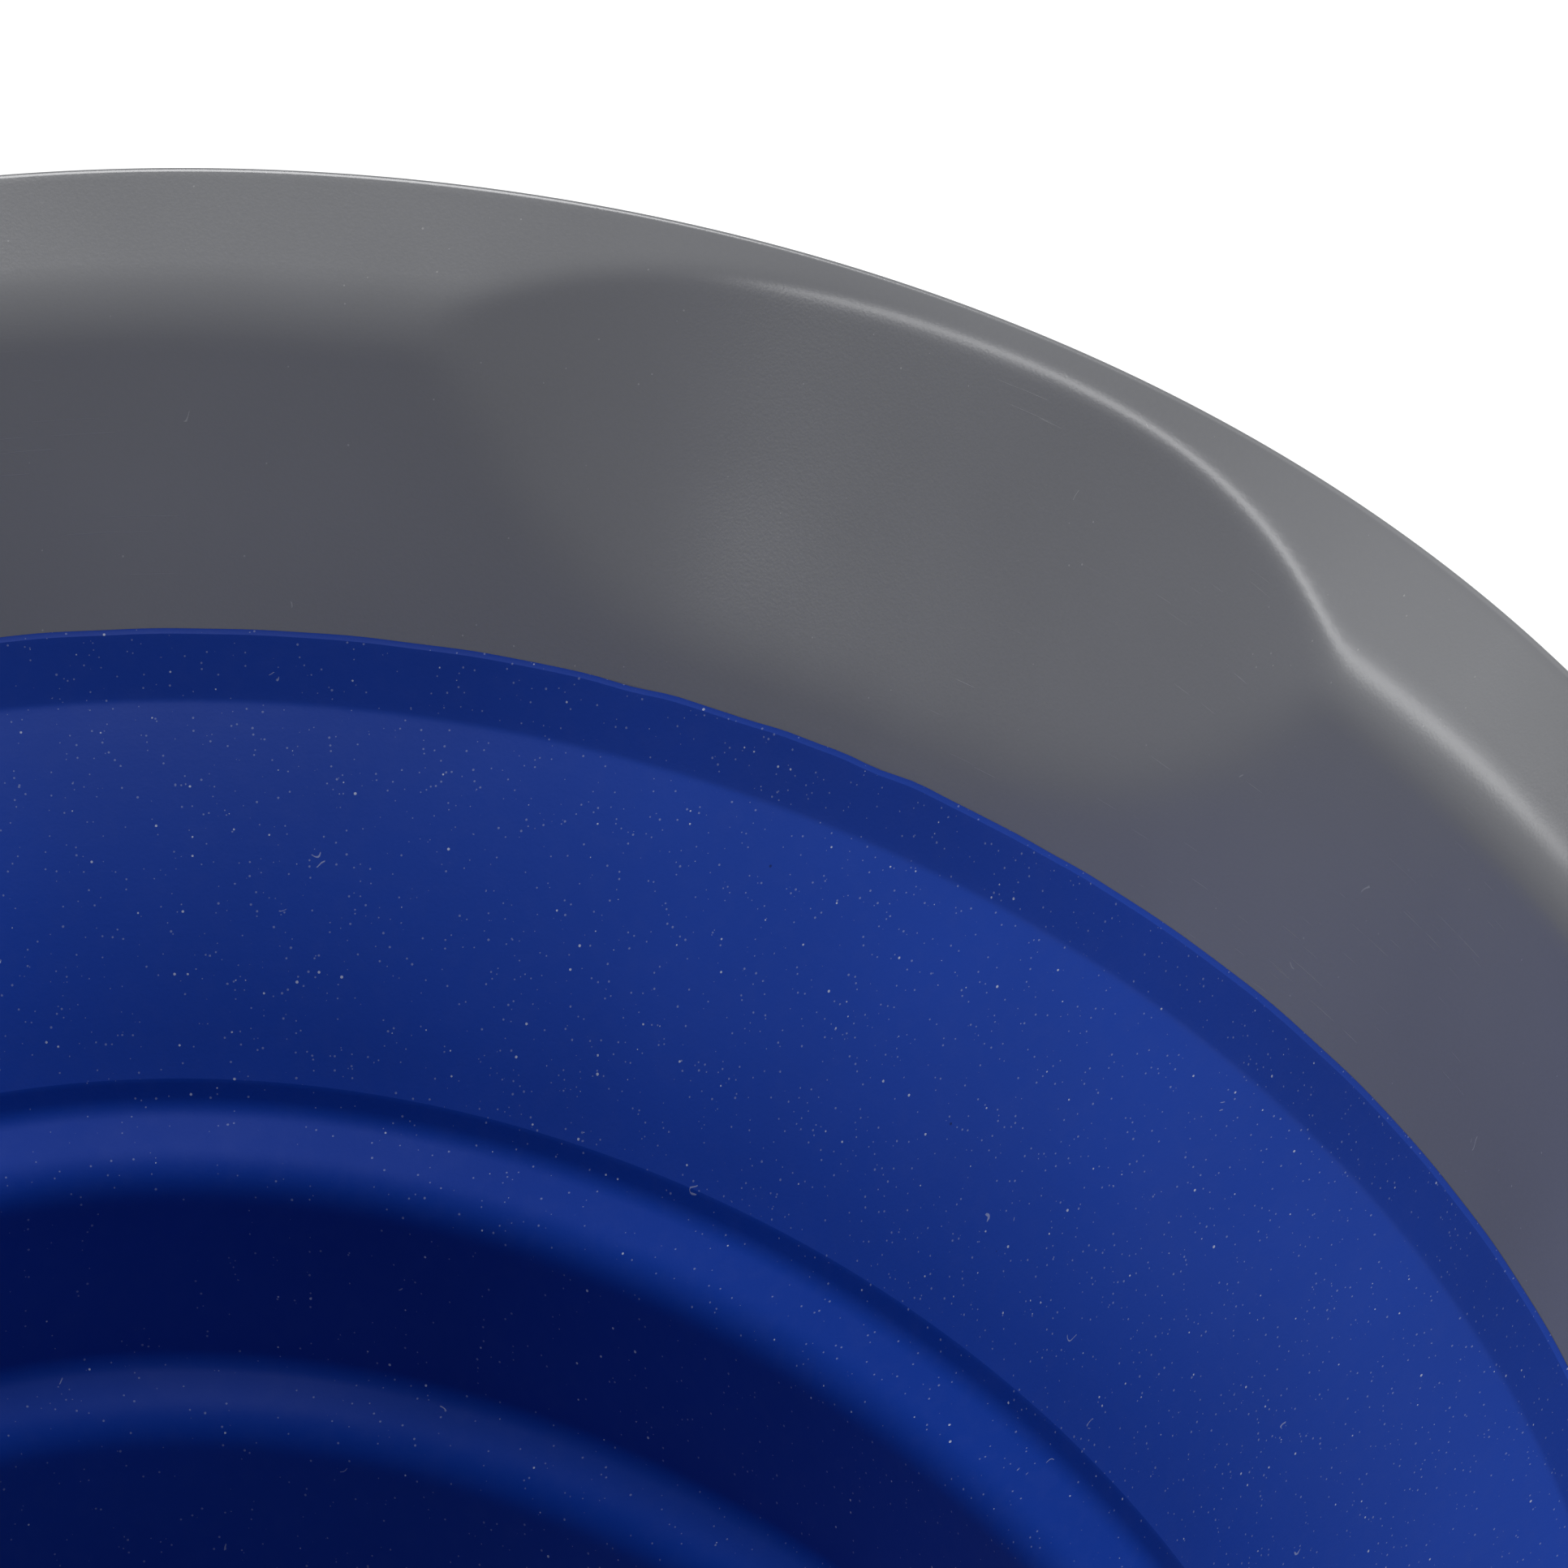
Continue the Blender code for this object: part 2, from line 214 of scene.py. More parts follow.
def loop_quads(count):
    """Quads (angle, point, corner) that join closed sections of count points."""
    step = np.arange(SEGMENTS)[:, None] * count
    following = np.roll(step, -1, axis=0)
    here = np.arange(count)[None, :]
    after = (here + 1) % count
    return np.stack((step + here, following + here, following + after, step + after), axis=-1)


def ring(name, loops, material):
    """A closed ring from closed sections, one at each angle."""
    quads = loop_quads(loops.shape[1]).reshape(-1, 4).tolist()
    return from_points(name, oval(loops), quads, material)


def smooth_noise(angles, seed, waves):
    """A gentle closed wave round the tub, between about -1 and 1."""
    rng = np.random.default_rng(seed)
    total = np.zeros_like(angles)
    for wave in waves:
        total += rng.uniform(0.4, 1) * np.sin(wave * angles + rng.uniform(0, 2 * math.pi))
    return total / len(waves)


# ---------------------------------------------------------------- materials

class Shader:
    """A Principled material and short ways to add nodes to it."""

    def __init__(self, name, **sockets):
        self.material = bpy.data.materials.new(name)
        self.material.use_nodes = True
        self.tree = self.material.node_tree
        self.main = self.tree.nodes["Principled BSDF"]
        for socket, value in sockets.items():
            self.main.inputs[socket.replace("_", " ")].default_value = value
        self.place = self.add("ShaderNodeTexCoord").outputs["Object"]

    def add(self, kind, **settings):
        node = self.tree.nodes.new(kind)
        for key, value in settings.items():
            setattr(node, key, value)
        return node

    def link(self, source, target):
        self.tree.links.new(source, target)

    def feed(self, node, name, value):
        """Set an input, or link it when the value is a socket."""
        socket = node.inputs[name]
        if isinstance(value, bpy.types.NodeSocket):
            self.link(value, socket)
        else:
            socket.default_value = value

    def math(self, operation, first, second=0.0, clamp=False):
        node = self.add("ShaderNodeMath", operation=operation, use_clamp=clamp)
        self.feed(node, 0, first)
        self.feed(node, 1, second)
        return node.outputs[0]

    def noise(self, scale, detail=2.0, roughness=0.5, place=None):
        node = self.add("ShaderNodeTexNoise")
        self.feed(node, "Vector", place or self.place)
        self.feed(node, "Scale", scale)
        self.feed(node, "Detail", detail)
        self.feed(node, "Roughness", roughness)
        return node.outputs["Fac"]

    def stretch(self, scale, turn=(0, 0, 0)):
        node = self.add("ShaderNodeMapping")
        self.feed(node, "Vector", self.place)
        self.feed(node, "Scale", scale)
        self.feed(node, "Rotation", turn)
        return node.outputs[0]

    def spread(self, value, low, high, out_low, out_high):
        node = self.add("ShaderNodeMapRange")
        for name, number in zip(("Value", "From Min", "From Max", "To Min", "To Max"),
                                (value, low, high, out_low, out_high)):
            self.feed(node, name, number)
        return node.outputs[0]

    def mix(self, share, first, second):
        """Blend two colours; the node's sockets 6, 7 and 2 are its colours A, B and result."""
        node = self.add("ShaderNodeMix", data_type="RGBA")
        self.feed(node, "Factor", share)
        self.feed(node, 6, first)
        self.feed(node, 7, second)
        return node.outputs[2]

    def tones(self, cloud, colour, darker, lighter):
        """A colour that drifts between a darker and a lighter tone with a cloud noise."""
        dark = (*(darker * c for c in colour), 1)
        light = (*(lighter * c for c in colour), 1)
        return self.mix(self.spread(cloud, 0.3, 0.7, 0, 1), dark, light)

    def laid_over(self, body, mask, strength, colour):
        """The body colour with another laid over it where the mask is."""
        return self.mix(self.math("MULTIPLY", mask, strength), body, colour)

    def specks(self, scale, radius, share):
        """Dots no wider than radius (in cells), in a share of the cells."""
        node = self.add("ShaderNodeTexVoronoi")
        self.feed(node, "Vector", self.place)
        self.feed(node, "Scale", scale)
        parts = self.add("ShaderNodeSeparateColor")
        self.link(node.outputs["Color"], parts.inputs[0])
        chosen = self.math("LESS_THAN", parts.outputs[0], share)
        size = self.math("MULTIPLY", parts.outputs[1], radius)
        near = self.math("LESS_THAN", node.outputs["Distance"], size)
        return self.math("MULTIPLY", chosen, near)

    def fibres(self, cell_scale, line_scale, share, width=0.012):
        """Short bent hairs: thin level lines of a noise, kept inside scattered dots."""
        line = self.noise(line_scale, detail=0)
        off = self.math("ABSOLUTE", self.math("SUBTRACT", line, 0.5))
        thin = self.math("LESS_THAN", off, width)
        return self.math("MULTIPLY", thin, self.specks(cell_scale, 0.34, share))

    def bump(self, *layers):
        """Stack bumps of (height, strength, depth in metres)."""
        previous = None
        for height, strength, depth in layers:
            node = self.add("ShaderNodeBump")
            self.feed(node, "Height", height)
            self.feed(node, "Strength", strength)
            self.feed(node, "Distance", depth)
            if previous:
                self.link(previous, node.inputs["Normal"])
            previous = node.outputs[0]
        self.link(previous, self.main.inputs["Normal"])


GRAIN_GREY = (0.30, 0.30, 0.32, 1)
SCRATCH_GREY = (0.42, 0.42, 0.44, 1)
LINT_GREY = (0.60, 0.60, 0.60, 1)
DUST_GREY = (0.62, 0.62, 0.62, 1)
BLOOM_BLUE = (0.06, 0.10, 0.36, 1)
LINT_BLUE = (0.50, 0.55, 0.70, 1)
DUST_BLUE = (0.55, 0.60, 0.75, 1)
FINE_DUST_BLUE = (0.45, 0.52, 0.72, 1)
# Near-black blue: painted shade standing in for small pits, which get no relief of their own.
PAINTED_PIT_SHADE_BLUE = (0.002, 0.006, 0.04, 1)


def grey_plastic(name, colour, fibre_share=0.05):
    """Satin moulded polypropylene with fine grain, hairline scratches and lint."""
    s = Shader(name, Specular_IOR_Level=1.0, IOR=1.6)
    cloud = s.noise(9, 3)
    grain = s.noise(1400, 1)
    scratch_line = s.noise(1.0, 2, 0.7, s.stretch((35, 35, 3200), (0.12, -0.08, 0)))
    scratch = s.math("MULTIPLY", s.spread(scratch_line, 0.70, 0.74, 0, 1),
                     s.spread(s.noise(14, 1), 0.56, 0.66, 0, 1), clamp=True)

    body = s.tones(cloud, colour, 0.90, 1.08)
    body = s.mix(s.spread(grain, 0.35, 0.75, 0, 0.10), body, GRAIN_GREY)
    body = s.laid_over(body, scratch, 0.35, SCRATCH_GREY)
    body = s.laid_over(body, s.fibres(190, 260, fibre_share), 0.55, LINT_GREY)
    body = s.laid_over(body, s.specks(520, 0.10, 0.20), 0.45, DUST_GREY)
    s.link(body, s.main.inputs["Base Color"])

    rough = s.math("ADD", s.spread(cloud, 0.3, 0.7, 0.19, 0.225), s.math("MULTIPLY", scratch, 0.2))
    rough = s.math("ADD", rough, s.math("MULTIPLY", grain, 0.04))
    s.link(rough, s.main.inputs["Roughness"])
    s.bump((s.noise(2200, 1), 0.18, 0.06 * MM), (s.noise(28, 1), 0.25, 0.6 * MM),
           (scratch, 0.3, 0.03 * MM))
    return s.material


def blue_rubber(name, colour, dust_share=0.22, specular=0.21):
    """Soft moulded rubber with a faint bloom, pale dust, lint and near-black dots painted as the shade
    inside small pits.
    """
    s = Shader(name, Specular_IOR_Level=specular, Sheen_Weight=0.02, Sheen_Roughness=0.45)
    dust = s.specks(560, 0.14, dust_share)

    body = s.tones(s.noise(8, 3), colour, 0.88, 1.10)
    body = s.mix(s.spread(s.noise(300, 2), 0.45, 0.8, 0, 0.06), body, BLOOM_BLUE)
    body = s.laid_over(body, dust, 0.75, DUST_BLUE)
    body = s.laid_over(body, s.specks(1150, 0.24, 2 * dust_share), 0.30, FINE_DUST_BLUE)
    body = s.laid_over(body, s.fibres(200, 300, 0.07), 0.45, LINT_BLUE)
    # Scattered near-black dots: painted shade of small pits, laid on as colour only.
    body = s.laid_over(body, s.specks(90, 0.045, 0.12), 0.6, PAINTED_PIT_SHADE_BLUE)
    s.link(body, s.main.inputs["Base Color"])

    s.link(s.spread(s.noise(40, 3), 0.3, 0.7, 0.50, 0.60), s.main.inputs["Roughness"])
    s.bump((s.noise(1600, 2), 0.22, 0.08 * MM), (s.noise(22, 2), 0.35, 0.9 * MM),
           (dust, 0.3, 0.05 * MM))
    return s.material


def plain_rubber(name, colour):
    """Dark dense rubber with a dusty sheen."""
    s = Shader(name, Sheen_Weight=0.08)
    cloud = s.noise(60, 3)
    pale = (*(2.2 * c for c in colour), 1)
    body = s.mix(s.spread(cloud, 0.35, 0.75, 0, 0.6), (*colour, 1), pale)
    s.link(body, s.main.inputs["Base Color"])
    s.link(s.spread(s.noise(300, 2), 0.3, 0.7, 0.62, 0.8), s.main.inputs["Roughness"])
    s.bump((s.noise(1500, 2), 0.3, 0.1 * MM))
    return s.material


RIM_GREY = (0.262, 0.267, 0.281)
DRAIN_GREY = (0.42, 0.43, 0.45)
FOOT_GREY = (0.018, 0.018, 0.021)
WALL_BLUE = (0.0055, 0.049, 0.375)
# The lower blue is the wall's blue made darker: painted shade for the deep part of the tub, where less
# light reaches.
SHADED_DEEP_BLUE = (0.0020, 0.035, 0.300)
RIM_PLASTIC = grey_plastic("rim_polypropylene", RIM_GREY)
BASE_PLASTIC = grey_plastic("base_polypropylene", RIM_GREY, fibre_share=0.02)
DRAIN_PLASTIC = grey_plastic("drain_polypropylene", DRAIN_GREY, fibre_share=0.01)
RUBBER = blue_rubber("wall_rubber", WALL_BLUE)
# Rubber in the darker blue for the bands from the middle ledge down, painted with the tub's depth
# shade; the mat and the plug take the same darker blue.
SHADED_LOWER_RUBBER = blue_rubber("shaded_lower_wall_rubber", SHADED_DEEP_BLUE, dust_share=0.12, specular=0.10)
MAT_RUBBER = blue_rubber("mat_rubber", SHADED_DEEP_BLUE, dust_share=0.1)
PLUG_RUBBER = blue_rubber("plug_rubber", SHADED_DEEP_BLUE, dust_share=0.1)
FOOT_RUBBER = plain_rubber("foot_rubber", FOOT_GREY)


# ---------------------------------------------------------------- rim

def rim_path(edge_radius, step):
    """Up the skirt, over the edge, down the bead and round the shoulder to the foot."""
    return rounded([(*SKIRT_FOOT, 0), (*RIM_EDGE, edge_radius), (*RIM_SHOULDER, SHOULDER_RADIUS),
                    (*RIM_FOOT, 0)], step)


def scoop_depth():
    """How deep each scoop's facet lies behind the shoulder at each angle, in millimetres."""
    quarter = np.arctan2(np.abs(np.sin(ANGLES)), np.abs(np.cos(ANGLES)))
    away = np.abs(quarter - SCOOP_CENTRE) / SCOOP_HALF_SPAN
    return SCOOP_CUT * (1 - away ** SCOOP_ROUNDNESS)


def softly_positive(values, softness):
    """Nothing below zero and the value above it, with a rounded change between."""
    return softness * np.logaddexp(0, values / softness)


def scooped(path, lip_softness, foot_softness):
    """Sections of the rim at each angle, with the four scoops cut into its shoulder."""
    along = np.array((math.cos(SCOOP_SLOPE), math.sin(SCOOP_SLOPE)))
    outward = np.array((along[1], -along[0]))
    depth = scoop_depth()[:, None]
    travel = (path - RIM_SHOULDER) @ along
    hollow_share = np.clip((travel + HOLLOW_ABOVE) / HOLLOW_LENGTH, 0, 1)
    hollow = SCOOP_HOLLOW * np.clip(depth / SCOOP_CUT, 0, 1) * np.sin(math.pi * hollow_share)
    soft_share = np.clip((travel + SOFTNESS_ABOVE) / SOFTNESS_LENGTH, 0, 1)
    softness = lip_softness + (foot_softness - lip_softness) * soft_share
    cut = softly_positive(path @ outward - RIM_SHOULDER @ outward + depth + hollow, softness)
    fade_in = np.clip((path[:, 0] - UNCUT_EDGE) / EDGE_FADE, 0, 1)
    fade_out = np.clip((RIM_FOOT[1] - path[:, 1]) / FOOT_FADE, 0, 1)
    return path - (cut * fade_in * fade_out)[..., None] * outward


def make_rim():
    """One closed shell: the shown face with its scoops and a softer face behind it."""
    front = scooped(rim_path(EDGE_RADIUS, step=1.2), LIP_SOFTNESS, FOOT_SOFTNESS)
    behind = scooped(rim_path(BACK_EDGE_RADIUS, step=2.0), BACK_SOFTNESS, BACK_SOFTNESS)
    behind = behind - right_normals(behind) * RIM_WALL
    rim = ring("rim_body", closed_loops(front, behind), RIM_PLASTIC)
    finish_piece(rim, "rim", "rim_shell")


# ---------------------------------------------------------------- rubber wall

# Drops at which the wall is divided into bands.
COLLAR_END = 79.6
FOLD_MIDDLE = 103.0
FOLD_END = 127.0
LEDGE_END = 142.0
MIDDLE_WALL_END = 170.0

# The flash is a thin wavy lip where the rubber ends on the rim. It is higher and rougher where the
# sine of the angle round the tub is near one value, and it dies out down the band's front.
FLASH_HEIGHT = 0.22
ROUGH_FLASH_HEIGHT = 0.75
ROUGH_FLASH_SINE = 0.55
ROUGH_FLASH_SPAN = 0.16
FLASH_END = 69.5
FLASH_FADE = 3.0
BAND_FRONT = 31.0
RIM_LEAN = 0.29


def wall_path():
    """The rubber's inner face from the band under the rim down to its foot on the floor."""
    return rounded([(32.75, 66.9, 0), (33.2, 67.25, 0.2), (38.0, 77.0, 3), (59.6, 97.1, 150),
                    (74.6, 127.4, 6), (76.0, 131.6, 5), (87.3, 138.0, 8.5), (86.9, 172.2, 4),
                    (96.8, 178.4, 9), (98.9, 214.4, 5), (112.0, 214.5, 0)], step=1.1)


def cut_between(path, start, end):
    """The part of a path between two drops; None stands for the path's own end."""
    drops = path[:, 1]
    first = int(np.argmax(drops >= start)) if start is not None else 0
    last = int(np.argmax(drops >= end)) if end is not None else len(path) - 1
    return path[first:last + 1]


def band_normals(item, path_normals):
    """Give the shown face its whole wall's normals, so that neighbours shade alike."""
    mesh = item.data
    flat = np.empty(len(mesh.vertices) * 3)
    mesh.vertices.foreach_get("normal", flat)
    normals = flat.reshape(SEGMENTS, -1, 3)
    size = path_normals.shape[0]
    normals[:, :size, 0:2] = -outward_normals()[:, None, :] * path_normals[None, :, 0:1]
    normals[:, :size, 2] = -path_normals[None, :, 1]
    normals = unit_rows(normals.reshape(-1, 3))
    mesh.normals_split_custom_set_from_vertices(normals.tolist())


def wall_band(name, path, start, end, material):
    """A closed ring of the wall between two drops."""
    part = cut_between(path, start, end)
    whole_normals = right_normals(path)
    first = int(np.where((path == part[0]).all(axis=1))[0][0])
    normals = whole_normals[first:first + len(part)]
    behind = part - normals * RUBBER_WALL
    loop = np.concatenate((part, behind[::-1]))
    item = ring(name, all_round(loop), material)
    band_normals(item, normals)
    return item


def make_collar(path):
    """The band bonded round the rim's foot, in front of the rim's wall and behind it."""
    shown = cut_between(path, None, COLLAR_END)
    tip_back = shown[-1] + (-1.6, 1.5)
    foot_back = RIM_FOOT + (-3.0, 1.1)
    foot_front = RIM_FOOT + (0.02, 0.1)
    under_flash = RIM_FOOT + (-0.25, -1.1)
    section = np.concatenate((shown, rounded([
        (*tip_back, 0), (35.0, 81.2, 1.5), (27.4, 69.8, 4), (23.4, 58.8, 1), (25.0, 57.2, 0.8),
        (26.6, 58.4, 0), (*foot_back, 0), (*foot_front, 0), (*under_flash, 0)], step=1.5)))
    loops = np.array(all_round(section))
    flash = FLASH_HEIGHT * smooth_noise(ANGLES, 3, (9, 17, 31, 47, 71))
    roughness = np.exp(-((np.abs(np.sin(ANGLES)) - ROUGH_FLASH_SINE) / ROUGH_FLASH_SPAN) ** 2)
    flash += ROUGH_FLASH_HEIGHT * roughness * smooth_noise(ANGLES, 8, (23, 37, 61, 89, 120))
    near_lip = np.clip((FLASH_END - section[:, 1]) / FLASH_FADE, 0, 1) * (section[:, 0] > BAND_FRONT)
    loops[..., 1] += flash[:, None] * near_lip
    loops[..., 0] += flash[:, None] * near_lip * RIM_LEAN
    collar = ring("collar_band", loops, RUBBER)
    finish_piece(collar, "rim", "wall_collar")


def make_wall():
    """The collar and five bands; a band that spans a fold between two bodies is left unattached, its
    placement baked into its mesh.
    """
    path = wall_path()
    make_collar(path)
    bands = [("fold_high", COLLAR_END, FOLD_MIDDLE, "rim", "upper", "wall_upper_tier"),
             ("fold_low", FOLD_MIDDLE, FOLD_END, "upper", "middle", "wall_upper_tier"),
             ("ledge_middle", FOLD_END, LEDGE_END, "middle", None, "wall_middle_tier"),
             ("wall_middle", LEDGE_END, MIDDLE_WALL_END, "middle", "base", "wall_middle_tier"),
             ("wall_lower", MIDDLE_WALL_END, None, "base", None, "wall_lower_tier")]
    for name, start, end, above, below, node in bands:
        # Bands from the middle ledge down take the darker rubber: painted shade for the depth of the
        # tub.
        material = RUBBER if start < FOLD_END else SHADED_LOWER_RUBBER
        band = wall_band(name, path, start, end, material)
        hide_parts(node)
        if below:
            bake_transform(band)
        else:
            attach(band, above)


# ---------------------------------------------------------------- base

# Floor pan: its skirt's inset, its lowest height and the inner rings of its flat floor.
PAN_INSET = 97.0
PAN_LOW = 6.0
PAN_EDGE_RADIUS = 2.5
FLOOR_RINGS = (125.0, 133.0)
DRAIN_HOLE = 21.0

# Bosses, ribs and feet under the floor; bosses and ribs reach a little way into the plate.
BOSS_RADIUS = 14.0
BOSS_FLARE = 2.5
PAD_RADIUS = 17.0
PAD_HEIGHT = 5.5
PAD_SOLE = 3.0
RIB_DEPTH = 6.0
RIB_WIDTH = 3.0
RIB_REACH = 110.0
RIB_X = (-50.0, 30.0, 110.0)
RIB_BEVEL = 0.7
FITTING_OVERLAP = 0.8

# Mat: its field lies lower than its rim, and the dots start just inside the field.
MAT_FIELD = 1.1
DOT_SPACING = 12.5
DOT_RADIUS = 3.4
DOT_HEIGHT = 0.9
DOT_MARGIN = 11.0
DOT_SUNK = 0.1

# Plug, the eye on it and the ring hinged in the eye; heights are above the ground.
PLUG_TOP = 25.6
EYE_HEIGHT = 29.4
EYE_RADIUS = 5.0
EYE_HOLE = 2.3
EYE_HALF_WIDTH = 2.5
EYE_CHAMFER = 0.5
EYE_FLARE = 0.16
RING_HALF_WIDTH = 11.0
RING_CORNER = 3.0
RING_LENGTH = 26.0
RING_WIRE = 1.6
RING_DROOP = math.radians(5)

# A turned outline's point nearer the axis than this lies on it.
ON_AXIS = 0.001


def middle_of(node):
    low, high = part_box(node)
    return (low.x + high.x) / 2, (low.y + high.y) / 2


def cut_hole(item, middle, radius, height):
    """Cut an upright round hole through an object, from the ground up to a height."""
    work = bmesh.new()
    place = Matrix.Translation((*middle, height * MM / 2))
    bmesh.ops.create_cone(work, cap_ends=True, segments=96, radius1=radius * MM,
                          radius2=radius * MM, depth=height * MM, matrix=place)
    cutter = from_bmesh("hole", work, item.data.materials[0])
    cut = item.modifiers.new("hole", "BOOLEAN")
    cut.operation = "DIFFERENCE"
    cut.solver = "EXACT"
    cut.object = cutter
    whole = item.evaluated_get(bpy.context.evaluated_depsgraph_get())
    item.data = bpy.data.meshes.new_from_object(whole)
    item.data.set_sharp_from_angle(angle=math.radians(30))
    item.modifiers.clear()
    bpy.data.objects.remove(cutter)


def make_pan():
    """Floor plate with a skirt; the drain hole is cut through it."""
    floor_drop = (EDGE_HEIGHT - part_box("base_pan")[1].z) / MM
    low_drop = EDGE_HEIGHT / MM - PAN_LOW
    path = rounded([(PAN_INSET, low_drop, 0), (PAN_INSET, floor_drop, PAN_EDGE_RADIUS),
                    (FLOOR_RINGS[0], floor_drop, 0)], step=2.5)
    path = np.concatenate((path, [(FLOOR_RINGS[1], floor_drop)]))
    behind = (path - right_normals(path) * PAN_WALL)[::-1]
    loops = oval(all_round(np.concatenate((path, behind))))
    count = loops.shape[1]
    top = len(path) - 1
    sides = np.delete(loop_quads(count), top, axis=1).reshape(-1, 4).tolist()
    upper = (np.arange(SEGMENTS) * count + top).tolist()
    lower = (np.arange(SEGMENTS) * count + top + 1).tolist()
    pan = from_points("pan_body", loops, [*sides, upper, lower[::-1]], BASE_PLASTIC, 30)
    cut_hole(pan, middle_of("drain_seat"), DRAIN_HOLE, 30)
    finish_piece(pan, "base", "base_pan")


def circle(work, x, y, z, radius, steps):
    """New vertices round a level circle."""
    turns = [2 * math.pi * step / steps for step in range(steps)]
    return [work.verts.new((x + radius * math.cos(turn), y + radius * math.sin(turn), z))
            for turn in turns]


def turned(name, outline, place, material, steps=96):
    """A closed outline of (radius, height) in millimetres turned about a vertical axis."""
    work = bmesh.new()
    rings = [circle(work, 0, 0, height * MM, radius * MM, steps if radius > ON_AXIS else 1)
             for radius, height in outline]
    for low, high in zip(rings, rings[1:] + rings[:1]):
        for step in range(steps):
            after = (step + 1) % steps
            corners = (low[step % len(low)], low[after % len(low)],
                       high[after % len(high)], high[step % len(high)])
            corners = list(dict.fromkeys(corners))
            if len(corners) > 2:
                work.faces.new(corners)
    bmesh.ops.translate(work, verts=work.verts, vec=place)
    return from_bmesh(name, work, material)


def softened(outline, radius):
    """A closed outline of corners (x, y) with every corner off the axis rounded."""
    points = []
    for number, corner in enumerate(outline):
        here = np.array(corner, float)
        if here[0] < ON_AXIS:
            points.append(tuple(here))
            continue
        before = np.array(outline[number - 1], float) - here
        after = np.array(outline[(number + 1) % len(outline)], float) - here
        reach = min(radius, 0.45 * np.linalg.norm(before), 0.45 * np.linalg.norm(after))
        start = here + unit(before) * reach
        end = here + unit(after) * reach
        for share in np.linspace(0, 1, 5):
            point = start * (1 - share) ** 2 + here * 2 * share * (1 - share) + end * share ** 2
            points.append(tuple(point))
    return points


def add_pan_fittings():
    """Bosses for the feet and crossed ribs under the floor plate."""
    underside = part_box("base_pan")[1].z / MM - PAN_WALL
    top = underside + FITTING_OVERLAP
    boss = softened([(0, PAD_SOLE), (BOSS_RADIUS, PAD_SOLE), (BOSS_RADIUS, underside - 2),
                     (BOSS_RADIUS + BOSS_FLARE, top), (0, top)], 1.0)
    for number in range(1, 7):
        item = turned(f"pan_boss_{number}", boss, (*middle_of(f"foot_pad_{number}"), 0), BASE_PLASTIC)
        finish_piece(item, "base", "base_pan")
    ribs = [(RIB_X[1], 2 * RIB_REACH, RIB_WIDTH)]
    ribs += [(x, RIB_WIDTH, 1.6 * RIB_REACH) for x in RIB_X]
    for number, (x, length, width) in enumerate(ribs):
        work = bmesh.new()
        bmesh.ops.create_cube(work, size=1)
        size = Vector((length, width, RIB_DEPTH + FITTING_OVERLAP)) * MM
        bmesh.ops.scale(work, verts=work.verts, vec=size)
        bmesh.ops.translate(work, verts=work.verts, vec=(x * MM, 0, top * MM - size.z / 2))
        bmesh.ops.bevel(work, geom=work.edges, offset=RIB_BEVEL * MM, segments=3, affect="EDGES")
        item = from_bmesh(f"pan_rib_{number}", work, BASE_PLASTIC)
        finish_piece(item, "base", "base_pan")


def make_feet():
    """Rubber pads with a chamfered edge, a grooved sole and a lip round each boss."""
    recess = BOSS_RADIUS + 0.8
    outline = softened([(0, 0.6), (6.0, 0.6), (6.8, 0), (9.0, 0), (9.8, 0.6), (12.0, 0.6),
                        (12.8, 0), (PAD_RADIUS - 1.4, 0), (PAD_RADIUS, 1.4),
                        (PAD_RADIUS, PAD_HEIGHT), (recess, PAD_HEIGHT),
                        (recess, PAD_SOLE - 0.2), (0, PAD_SOLE - 0.2)], 0.6)
    for number in range(1, 7):
        node = f"foot_pad_{number}"
        pad = turned(f"foot_{number}", outline, (*middle_of(node), 0), FOOT_RUBBER)
        finish_piece(pad, "base", node)


def add_dot(work, x, y, z, steps=12):
    """A low raised dot standing on the mat."""
    rings = [circle(work, x, y, z + DOT_HEIGHT * MM * (1 - share ** 2), DOT_RADIUS * MM * share, steps)
             for share in (1.0, 0.8, 0.45)]
    top = work.verts.new((x, y, z + DOT_HEIGHT * MM))
    for step in range(steps):
        after = (step + 1) % steps
        for low, high in zip(rings, rings[1:]):
            work.faces.new((low[step], low[after], high[after], high[step]))
        work.faces.new((rings[-1][step], rings[-1][after], top))
    work.faces.new(rings[0][::-1])


def make_mat():
    """Oval anti-slip mat with a rounded rim and rows of raised dots inside it."""
    low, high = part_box("base_grip_mat")
    middle = (low + high) / 2
    half = (high - low) / 2
    field = low.z + MAT_FIELD * MM
    section = [(0.0, low.z), (0.0, high.z - 1.0 * MM), (0.25, high.z - 0.5 * MM), (1.0, high.z),
               (3.0, high.z), (3.8, field + 0.2 * MM), (5.0, field)]
    work = bmesh.new()
    rings = [[work.verts.new((middle.x + (half.x - inset * MM) * math.cos(angle),
                              middle.y + (half.y - inset * MM) * math.sin(angle), level))
              for angle in ANGLES[::2]] for inset, level in section]
    count = len(rings[0])
    for outer, inner in zip(rings, rings[1:]):
        for step in range(count):
            after = (step + 1) % count
            work.faces.new((outer[step], outer[after], inner[after], inner[step]))
    work.faces.new(rings[-1])
    work.faces.new(rings[0][::-1])
    spacing = DOT_SPACING * MM
    pitch = spacing * math.sqrt(0.75)
    margin = DOT_MARGIN * MM
    rows = int(half.y / pitch)
    columns = int(half.x / spacing) + 1
    for row in range(-rows, rows + 1):
        for column in range(-columns, columns + 1):
            x = (column + (row % 2) / 2) * spacing
            y = row * pitch
            if math.hypot(x / (half.x - margin), y / (half.y - margin)) < 1:
                add_dot(work, middle.x + x, middle.y + y, field - DOT_SUNK * MM)
    mat = from_bmesh("grip_mat", work, MAT_RUBBER, 60)
    finish_piece(mat, "base", "base_grip_mat")


